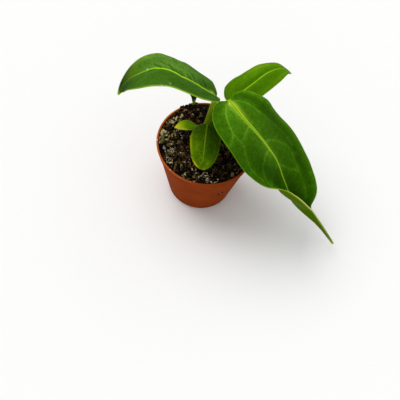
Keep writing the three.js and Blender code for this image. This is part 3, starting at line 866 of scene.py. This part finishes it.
def drillDrains(piece):
    form = potForm
    bm = bmesh.new()
    for i in range(form["drainCount"]):
        place = outward(math.tau * i / form["drainCount"]) * form["drainCircle"]
        bmesh.ops.create_cone(
            bm, cap_ends=True, segments=form["drainSides"], radius1=form["drainRadius"],
            radius2=form["drainRadius"], depth=4 * form["floor"], matrix=Matrix.Translation(place))
    drills = addObject("drills", meshOf("drills", bm))
    cut = piece.modifiers.new("drains", "BOOLEAN")
    cut.object = drills
    cut.operation = "DIFFERENCE"
    cut.solver = "EXACT"
    depsgraph = bpy.context.evaluated_depsgraph_get()
    holed = bpy.data.meshes.new_from_object(piece.evaluated_get(depsgraph))
    piece.modifiers.clear()
    piece.data = holed
    bpy.data.objects.remove(drills)


potFinish = {
    "light": "#8f3d18", "dark": "#7f3613", "dust": "#7d5a40", "lipShaded": "#8c3c16", "lipLit": "#cc6c30",
    "roughness": 0.45, "ior": 1.5, "specular": 0.001, "mottle": 14.0, "dustGrain": 1.6,
    "drawWidth": 0.9, "drawLength": 30.0, "drawDepth": 0.1, "lipFrom": 1.6, "lipFull": 0.9,
}


# Polypropylene, moulded thin: an even waxy gloss with faint upright flow lines. The lip is so thin
# that light passes through it; its band carries a painted glow, lit and shaded colours mixed
# lighter towards the sunny side.
def potMaterial():
    finish = potFinish
    height = potForm["height"]
    material, add = newMaterial("moulded polypropylene")
    spots = add("TexCoord").outputs["Object"]
    mottle = add("TexNoise", {"Vector": spots, "Scale": pitch(finish["mottle"]), "Detail": 4.0})
    colour = add("ValToRGB", {"Fac": mottle}, stops=[(0.3, finish["dark"]), (0.7, finish["light"])])
    wide, long = pitch(finish["drawWidth"]), pitch(finish["drawLength"])
    drawn = add("Mapping", {"Vector": spots, "Scale": (wide, wide, long)})
    lines = add("TexNoise", {"Vector": drawn, "Scale": 1.0, "Detail": 2.0})
    gloss = add(
        "MapRange",
        {"Value": lines, "To Min": finish["roughness"] - 0.1, "To Max": finish["roughness"] + 0.15})
    dust = add(
        "TexNoise",
        {"Vector": spots, "Scale": pitch(finish["dustGrain"]), "Detail": 5.0, "Roughness": 0.7})
    dustMask = add("MapRange", {"Value": dust, "From Min": 0.6, "From Max": 0.75, "To Max": 0.35})
    dusty = add(
        "Mix", {mixShare: dustMask, mixUnder: colour, mixOver: linear(finish["dust"])},
        data_type="RGBA")
    axes = add("SeparateXYZ", {"Vector": spots}).outputs
    # painted glow on the lip band: lit and shaded lip colours, lighter towards the sunny side
    lipGlowBand = add(
        "MapRange",
        {"Value": axes["Z"], "From Min": (height - finish["lipFrom"]) * mm,
         "From Max": (height - finish["lipFull"]) * mm, "To Max": 0.9})
    sunnySide = add(
        "MapRange",
        {"Value": axes["X"], "From Min": -potForm["rimRadius"] * mm, "From Max": 0.0,
         "To Min": 1.0, "To Max": 0.0})
    lipPaintedGlow = add(
        "Mix",
        {mixShare: sunnySide, mixUnder: linear(finish["lipShaded"]), mixOver: linear(finish["lipLit"])},
        data_type="RGBA")
    glowPainted = add("Mix", {mixShare: lipGlowBand, mixUnder: dusty, mixOver: lipPaintedGlow}, data_type="RGBA")
    skin = add("Bump", {"Height": lines, "Strength": 0.25, "Distance": finish["drawDepth"] * mm})
    finishSurface(add, finish, glowPainted, Roughness=gloss, Normal=skin)
    return material


nurseryPot = placePiece("nursery_pot", potMesh(), potMaterial(), ["pot"])
drillDrains(nurseryPot)
print("pot")


# Potting mix

soilForm = {
    "top": 48.4, "gap": 0.3, "sides": 300, "rings": 120, "wallShare": 0.12, "wallDrop": 2.2,
    "swell": 0.45, "ruffle": 0.3, "crumb": 0.6, "crumbPitch": 0.7, "grit": 0.35, "gritPitch": 1.9,
    "sink": 0.15, "wallBand": 1.5,
    # a mound or hollow is (x, y, height, spread)
    "mounds": [(-13, 24, 3.4, 8.5), (1, 5, 1.3, 9), (-24, 6, 0.9, 7), (14, 22, 0.8, 7)],
    "hollows": [(-12.6, -21.4, 1.3, 2.6), (-9, -6, 0.8, 3.5), (-17, 9, 0.6, 3)],
}


def soilHeight(x, y):  # mounds, and lumps from crossed waves
    form = soilForm
    height = form["top"]
    for moundX, moundY, rise, spread in form["mounds"]:
        height += rise * bump(math.hypot(x - moundX, y - moundY), spread)
    height += form["swell"] * math.sin(0.55 * x + 1.3 * math.sin(0.4 * y)) * math.cos(0.5 * y + 0.9)
    return height + form["ruffle"] * math.sin(1.25 * x + 0.8 * y) * math.sin(1.1 * y - 0.5 * x + 2)


def crumbs(x, y):  # finer lumps and hollows, in which the chips lie
    form = soilForm
    place = Vector((x, y, 0))
    height = form["crumb"] * noise.noise(place * form["crumbPitch"]) - form["sink"]
    for hollowX, hollowY, depth, spread in form["hollows"]:
        height -= depth * bump(math.hypot(x - hollowX, y - hollowY), spread)
    return height + form["grit"] * noise.noise(place * form["gritPitch"] + Vector((9, 4, 2)))


def bedHeight(x, y):
    return soilHeight(x, y) + crumbs(x, y)


def soilMesh():
    form = soilForm
    gap, floor, edge = form["gap"], potForm["floor"], potForm["edge"]
    inside = potInside
    wall = [Vector(spot) for spot in (
        (0, floor + gap), (inside["base"] - edge - gap, floor + gap),
        (inside["base"] - gap, floor + edge + gap), (inside["body"] - gap, inside["bodyTop"] - 2 * edge),
        (inside["rim"] - edge - gap, inside["bodyTop"] + edge + gap),
        (inside["rim"] - gap, potForm["height"] - form["wallDrop"]))]

    def spotOf(around, along):  # up inside the pot's wall, then in over the top
        direction = outward(around)
        if along < form["wallShare"]:
            place = along / form["wallShare"] * (len(wall) - 1)
            i = min(int(place), len(wall) - 2)
            radius, z = wall[i].lerp(wall[i + 1], place - i)
            return direction * radius + Vector((0, 0, z))
        radius = (inside["rim"] - gap) * (1 - (along - form["wallShare"]) / (1 - form["wallShare"]))
        x, y = direction.x * radius, direction.y * radius
        loose = smoothStep(0, form["wallBand"], inside["rim"] - gap - radius)
        return Vector((x, y, soilHeight(x, y) + crumbs(x, y) * loose))

    bm = bmesh.new()
    wrapGrid(bm, form["rings"], form["sides"], spotOf)
    bmesh.ops.recalc_face_normals(bm, faces=bm.faces[:])
    return bm


soilFinish = {
    "darkest": "#060504", "dark": "#110c08", "brown": "#30200f", "grain": "#7d6a48", "patch": 4.5,
    "crumb": 0.8, "crumbDepth": 0.3, "roughness": 0.4, "roughest": 0.95, "ior": 1.4, "specular": 0.04,
}


# Moist peat and bark dust: almost black, with brown flecks, and damp enough to glint here and there.
def soilMaterial():
    finish = soilFinish
    material, add = newMaterial("moist peat")
    spots = add("TexCoord").outputs["Object"]
    patch = add(
        "TexNoise", {"Vector": spots, "Scale": pitch(finish["patch"]), "Detail": 6.0, "Roughness": 0.7})
    colour = add(
        "ValToRGB", {"Fac": patch},
        stops=[(0.38, finish["darkest"]), (0.78, finish["brown"]), (0.6, finish["dark"])])
    crumb = add("TexVoronoi", {"Vector": spots, "Scale": pitch(finish["crumb"])}, feature="F1")
    fleck = add("SeparateColor", {"Color": crumb.outputs["Color"]}).outputs
    fleckMask = add("MapRange", {"Value": fleck[0], "From Min": 0.93, "From Max": 0.97, "To Max": 0.7})
    flecked = add(
        "Mix", {mixShare: fleckMask, mixUnder: colour, mixOver: linear(finish["grain"])},
        data_type="RGBA")
    rough = add(
        "MapRange", {"Value": fleck[1], "To Min": finish["roughness"], "To Max": finish["roughest"]})
    relief = add("Bump", {"Height": crumb, "Strength": 0.8, "Distance": finish["crumbDepth"] * mm})
    finishSurface(add, finish, flecked, Roughness=rough, Normal=relief)
    return material


placePiece("peat", soilMesh(), soilMaterial(), ["soil"])
print("soil bed")

# Loose bits on the bed. The first of each kind lie as the big chips of the solid model do, drawn
# by the same rule, with its number of corners each taking three draws.
bigBits = [
    {"kind": "bark", "count": 30, "size": (4.6, 2.2, 1.4), "sink": 0.3, "corners": 8, "shade": 0.5},
    {"kind": "pumice", "count": 22, "size": (1.8, 1.6, 1.5), "sink": 0.6, "corners": 6, "shade": 0.3},
    {"kind": "twig", "count": 10, "size": (1.2, 9.5, 1.3), "sink": 0.2, "corners": 12, "shade": 0.5},
]
bitBeds = {  # for each bed its place, spread and count, and its bits' length, width and height
    "bark": [
        (0, 0, 30.2, 1500, 1.5, 0.8, 0.7), (-14, 22, 9, 120, 2.6, 1.2, 0.9), (-13, -6, 9, 160, 2.0, 0.7, 0.6),
        (-24, 8, 7, 120, 1.8, 0.8, 0.7),
    ],
    "twig": [
        (0, 0, 30, 160, 0.35, 2.6, 0.3), (-15, -9, 7, 60, 0.3, 2.4, 0.3), (12, -14, 8, 26, 0.3, 4.2, 0.3),
    ],
    "pumice": [
        (-25.5, 7, 6.5, 70, 2.3, 1.0, 0.9), (-28.5, -1, 4.5, 70, 2.0, 1.0, 0.9),
        (-20, 1, 7, 50, 1.6, 0.8, 0.7), (-14, -14, 9, 40, 1.4, 0.7, 0.6),
        (-19, 18, 6, 24, 2.4, 1.0, 0.9), (-22, -9, 5, 40, 1.3, 0.8, 0.6),
        (0, 0, 30, 70, 0.9, 0.6, 0.5), (-22, -17, 4, 14, 1.3, 0.6, 0.6), (2, -26, 7, 22, 1.1, 0.6, 0.5),
        (-6, -24, 6, 18, 1.1, 0.6, 0.5),
    ],
    "perlite": [
        (-12, 18.9, 0.4, 1, 1.4, 1.1, 1.0), (-6.6, 19.3, 1.6, 3, 1.1, 0.9, 0.8),
        (-21, -9.4, 2.6, 9, 2.0, 0.7, 0.6), (-28.6, -3.9, 1.4, 5, 1.2, 0.8, 0.7),
        (-22.6, -16.2, 1.5, 5, 1.3, 0.8, 0.6),
        (-10.6, -27, 1.5, 4, 1.2, 0.9, 0.8), (-4.8, -21.8, 1.2, 2, 1.2, 0.7, 0.6),
        (2.4, -25, 2.2, 4, 1.6, 0.6, 0.6), (6, -28.3, 2.2, 4, 1.5, 0.7, 0.6), (0, 0, 29, 46, 0.6, 0.5, 0.4),
    ],
}
# Places on the rim are angles in degrees. A speck is (angle, length).
lipBits = {"kind": "bark", "from": 108, "to": 131, "count": 20, "radius": 31.3, "size": (1.5, 1.0, 0.8)}
lipSpecks = {"radius": 31.4, "specks": [(-112.5, 0.8), (-128, 0.7), (-172, 0.9), (161, 0.6), (-100, 0.5)]}
wallSpecks = {"size": (0.8, 0.6, 0.9), "places": [(13.6, -23.6, 27.5), (16.0, -22.4, 29)]}
bitGaps = {"bigMiddle": 1.2, "middle": 0.6, "corner": 0.5}  # each at least this far from the pot's wall
bitFinish = {
    "bark": {
        "name": "fir bark", "colours": ["#0a0705", "#20150c", "#6b4a2c"], "skew": 2.0,
        "roughness": 0.7, "grain": 0.6,
    },
    "pumice": {
        "name": "pumice", "colours": ["#2c2412", "#8c7c4a", "#e0d29c"], "skew": 1.1,
        "roughness": 0.8, "grain": 0.35,
    },
    "perlite": {
        "name": "perlite", "colours": ["#8c8268", "#c6ba9e", "#f2ecdc"], "skew": 1.0,
        "roughness": 0.8, "grain": 0.3,
    },
    "twig": {
        "name": "dry wood fibre", "colours": ["#1c120a", "#5c4429", "#c2ad80"], "skew": 2.0,
        "roughness": 0.7, "grain": 0.3,
    },
}
bitSurface = {"ior": 1.45, "specular": 0.04, "grainDepth": 0.2, "grainShare": 1.2}


def bitModel(kind, seed):  # one of a few rough shapes that all bits of a kind are scaled from
    bm = bmesh.new()
    if kind == "twig":
        bmesh.ops.create_cone(bm, cap_ends=True, segments=6, radius1=0.5, radius2=0.4, depth=1)
        bmesh.ops.rotate(bm, verts=bm.verts[:], matrix=Matrix.Rotation(math.pi / 2, 3, "X"))
        for cut in (-0.2, 0.2):
            bmesh.ops.bisect_plane(
                bm, geom=bm.verts[:] + bm.edges[:] + bm.faces[:], plane_no=(0, 1, 0), plane_co=(0, cut, 0))
        rough = 0.16
    else:
        bmesh.ops.create_cube(bm, size=1)
        bmesh.ops.bevel(
            bm, geom=bm.edges[:], offset=0.2, offset_type="OFFSET", segments=1, profile=0.5,
            affect="EDGES", material=-1)
        rough = 0.32
    for vert in bm.verts:
        vert.co += Vector(noise.noise_vector(vert.co * 1.7 + Vector((seed, 0, 0)))) * rough
    return meshOf(kind + "Model", bm, scale=1)


noise.seed_set(3)  # else noise_vector takes its offsets from the clock
bitModels = {kind: [bitModel(kind, seed * 3.7) for seed in range(6)] for kind in bitFinish}
bitPiles = {kind: bmesh.new() for kind in bitFinish}
for pile in bitPiles.values():
    pile.verts.layers.float.new("tint")


def dropBit(kind, draw, size, place, turn, reach=100, shade=1):  # what would pass the reach is trimmed
    pile = bitPiles[kind]
    models = bitModels[kind]
    model = models[int(draw(0, len(models) - 0.01))].copy()
    model.transform(Matrix.Translation(place) @ turn @ Matrix.Diagonal(tuple(size) + (1,)))
    before = len(pile.verts)
    pile.from_mesh(model)
    pile.verts.ensure_lookup_table()
    layer = pile.verts.layers.float["tint"]
    tint = shade * draw() ** bitFinish[kind]["skew"]
    for i in range(before, len(pile.verts)):
        vert = pile.verts[i]
        vert[layer] = tint
        if vert.co.xy.length > reach:
            vert.co.xy *= reach / vert.co.xy.length
    bpy.data.meshes.remove(model)


def turned(*angles):
    return Euler(angles).to_matrix().to_4x4()


def tilted(draw, lean=0.7):
    return turned(draw(-lean, lean), draw(-lean, lean), draw(0, math.tau))


def layBigBits(rim):
    draw, extra = seededDraw(7), seededDraw(41)
    for bits in bigBits:
        for _ in range(bits["count"]):
            for _ in range(3 * bits["corners"]):
                draw()
            scale = 0.65 + 0.7 * draw()
            x, y = scattered(draw, 0, 0, rim - bitGaps["bigMiddle"])
            turn = turned((draw() - 0.5) * 1.3, (draw() - 0.5) * 0.9, math.tau * draw())
            size = [length * scale for length in bits["size"]]
            rise = bits["sink"] * bits["size"][2] * scale * 0.5
            place = (x, y, soilHeight(x, y) + rise)
            dropBit(bits["kind"], extra, size, place, turn, rim - bitGaps["corner"], bits["shade"])


def layBits():
    rim, top = potInside["rim"], potForm["height"]
    layBigBits(rim)
    draw = seededDraw(23)
    for kind, beds in bitBeds.items():
        for bedX, bedY, spread, count, *bedSize in beds:
            for _ in range(count):
                x, y = scattered(draw, bedX, bedY, spread)
                if math.hypot(x, y) > rim - bitGaps["middle"]:
                    continue
                scale = draw(0.55, 1.4)
                size = [length * scale * draw(0.8, 1.25) for length in bedSize]
                place = (x, y, bedHeight(x, y) + 0.2 * size[2])
                dropBit(kind, draw, size, place, tilted(draw), rim - bitGaps["corner"])
    for _ in range(lipBits["count"]):
        angle = math.radians(draw(lipBits["from"], lipBits["to"]))
        reach = lipBits["radius"] + draw(-0.5, 0.4)
        size = [length * draw(0.6, 1.3) for length in lipBits["size"]]
        place = outward(angle) * reach + Vector((0, 0, top + 0.35 * size[2]))
        dropBit(lipBits["kind"], draw, size, place, tilted(draw, 0.3))
    for degrees, length in lipSpecks["specks"]:
        place = outward(math.radians(degrees)) * lipSpecks["radius"] + Vector((0, 0, top + 0.1))
        dropBit("perlite", draw, (length, 0.7 * length, 0.5 * length), place, tilted(draw, 0.2))
    for place in wallSpecks["places"]:
        dropBit("bark", draw, wallSpecks["size"], place, tilted(draw, 0.2))


# Bark, stone and wood bits: dull and rough, each with its own tint, and a fine grain in it.
def bitMaterial(kind):
    finish = bitSurface | bitFinish[kind]
    material, add = newMaterial(finish["name"])
    spots = add("TexCoord").outputs["Object"]
    tint = add("Attribute", attribute_name="tint").outputs["Fac"]
    grain = add(
        "TexNoise", {"Vector": spots, "Scale": pitch(finish["grain"]), "Detail": 3.0, "Roughness": 0.7})
    share = add(
        "Math", {0: grain, 1: finish["grainShare"], 2: -0.5 * finish["grainShare"]},
        operation="MULTIPLY_ADD")
    total = add("Math", {0: tint, 1: share}, operation="ADD")
    dark, middle, light = finish["colours"]
    colour = add("ValToRGB", {"Fac": total}, stops=[(0.05, dark), (0.95, light), (0.45, middle)])
    relief = add("Bump", {"Height": grain, "Strength": 0.7, "Distance": finish["grainDepth"] * mm})
    finishSurface(add, finish, colour, Normal=relief)
    return material


layBits()
for kind, pile in bitPiles.items():
    placePiece(kind + "_bits", pile, bitMaterial(kind), smooth=False)
print("loose bits")

# Fine fibres that curl over the bed, and a low moss on its shaded side.
fibreForm = {
    "beds": [  # x, y, spread, count, length, radius, paleness
        (-22, -9, 2.6, 9, 4.5, 0.16, 0.95), (2.4, -25.4, 3, 10, 4.5, 0.14, 0.9),
        (7.4, -27, 2, 5, 4, 0.15, 0.85), (-15, -6, 7, 50, 5.5, 0.13, 0.3), (13, -8, 7, 20, 6.5, 0.13, 0.3),
        (-12, 22, 8, 24, 5, 0.13, 0.35), (0, 0, 28, 90, 4.5, 0.12, 0.35), (-21, -17, 4, 7, 3.5, 0.13, 0.75),
    ],
    "steps": 6, "fewestSpots": 4, "lift": 0.25, "wallGap": 0.9, "rings": 9, "sides": 5,
}
mossForm = {
    "beds": [(13, -14, 9.5, 900), (9, -3, 5, 220), (19, -20, 4, 120)],  # x, y, spread, count
    "length": 0.9, "width": 0.28, "tipWidth": 0.03, "lift": 0.35, "lean": 0.9, "wallGap": 1,
    "barePitch": 0.35, "bareBelow": -0.12,
}


def fibreMesh():
    form = fibreForm
    steps = form["steps"]
    bm = bmesh.new()
    layer = bm.verts.layers.float.new("tint")
    draw = seededDraw(57)
    for bedX, bedY, spread, count, length, radius, paleness in form["beds"]:
        for _ in range(count):
            x, y = scattered(draw, bedX, bedY, spread)
            heading, curl, arch = draw(0, math.tau), draw(-0.55, 0.55), draw(0.1, 0.9)
            step = length * draw(0.6, 1.3) / steps
            route = []
            for i in range(steps + 1):
                z = bedHeight(x, y) + form["lift"] + arch * math.sin(math.pi * i / steps)
                if math.hypot(x, y) < potInside["rim"] - form["wallGap"]:
                    route.append((x, y, z))
                x += step * math.cos(heading)
                y += step * math.sin(heading)
                heading += curl
            if len(route) < form["fewestSpots"]:
                continue
            _, at = walk(route, 60)

            def spotOf(angle, along):
                spot, ahead = at(along)
                across = Vector((0, 0, 1)).cross(ahead).normalized()
                thick = radius * math.sqrt(max(1 - (2 * along - 1) ** 4, 0))
                return spot + thick * (across * math.cos(angle) + ahead.cross(across) * math.sin(angle))

            before = len(bm.verts)
            wrapGrid(bm, form["rings"], form["sides"], spotOf)
            bm.verts.ensure_lookup_table()
            tint = clamp(paleness + draw(-0.2, 0.2))
            for i in range(before, len(bm.verts)):
                bm.verts[i][layer] = tint
    bmesh.ops.recalc_face_normals(bm, faces=bm.faces[:])
    return bm


def mossMesh():
    form = mossForm
    bm = bmesh.new()
    draw = seededDraw(91)
    for bedX, bedY, spread, count in form["beds"]:
        for _ in range(count):
            x, y = scattered(draw, bedX, bedY, spread)
            bare = noise.noise(Vector((x, y, 0)) * form["barePitch"]) < form["bareBelow"]
            if bare or math.hypot(x, y) > potInside["rim"] - form["wallGap"]:
                continue
            length = form["length"] * draw(0.6, 1.3)
            place = Matrix.Translation((x, y, bedHeight(x, y) + form["lift"] * length))
            bmesh.ops.create_cone(
                bm, cap_ends=True, segments=4, radius1=form["width"], radius2=form["tipWidth"],
                depth=length, matrix=place @ tilted(draw, form["lean"]))
    return bm


fibreFinish = {
    "darkest": "#1e130b", "brown": "#5e4226", "straw": "#a8916a", "pale": "#efe8d6",
    "stain": 1.2, "stainShare": 0.5, "roughness": 0.7, "ior": 1.5, "specular": 0.25,
}
mossFinish = {
    "depth": "#0b0d04", "middle": "#1b210b", "tips": "#3d4418", "patch": 1.8,
    "roughness": 0.85, "ior": 1.5, "specular": 0.15,
}


# Plant fibre: dry, straw pale to brown, with its tint drawn for each strand.
def fibreMaterial():
    finish = fibreFinish
    material, add = newMaterial("dry plant fibre")
    tint = add("Attribute", attribute_name="tint").outputs["Fac"]
    spots = add("TexCoord").outputs["Object"]
    stain = add("TexNoise", {"Vector": spots, "Scale": pitch(finish["stain"]), "Detail": 2.0})
    stained = add(
        "Math", {0: stain, 1: finish["stainShare"], 2: -0.5 * finish["stainShare"]},
        operation="MULTIPLY_ADD")
    total = add("Math", {0: tint, 1: stained}, operation="ADD")
    colour = add(
        "ValToRGB", {"Fac": total},
        stops=[
            (0.05, finish["darkest"]), (0.95, finish["pale"]), (0.4, finish["brown"]),
            (0.7, finish["straw"]),
        ])
    finishSurface(add, finish, colour)
    return material


# Moss: soft and quite dull, in patches from olive black to a mid green.
def mossMaterial():
    finish = mossFinish
    material, add = newMaterial("low moss")
    spots = add("TexCoord").outputs["Object"]
    patch = add(
        "TexNoise", {"Vector": spots, "Scale": pitch(finish["patch"]), "Detail": 4.0, "Roughness": 0.7})
    colour = add(
        "ValToRGB", {"Fac": patch},
        stops=[(0.35, finish["depth"]), (0.75, finish["tips"]), (0.55, finish["middle"])])
    finishSurface(add, finish, colour)
    return material


placePiece("fibres", fibreMesh(), fibreMaterial())
placePiece("moss", mossMesh(), mossMaterial(), smooth=False)
print("fibres and moss")
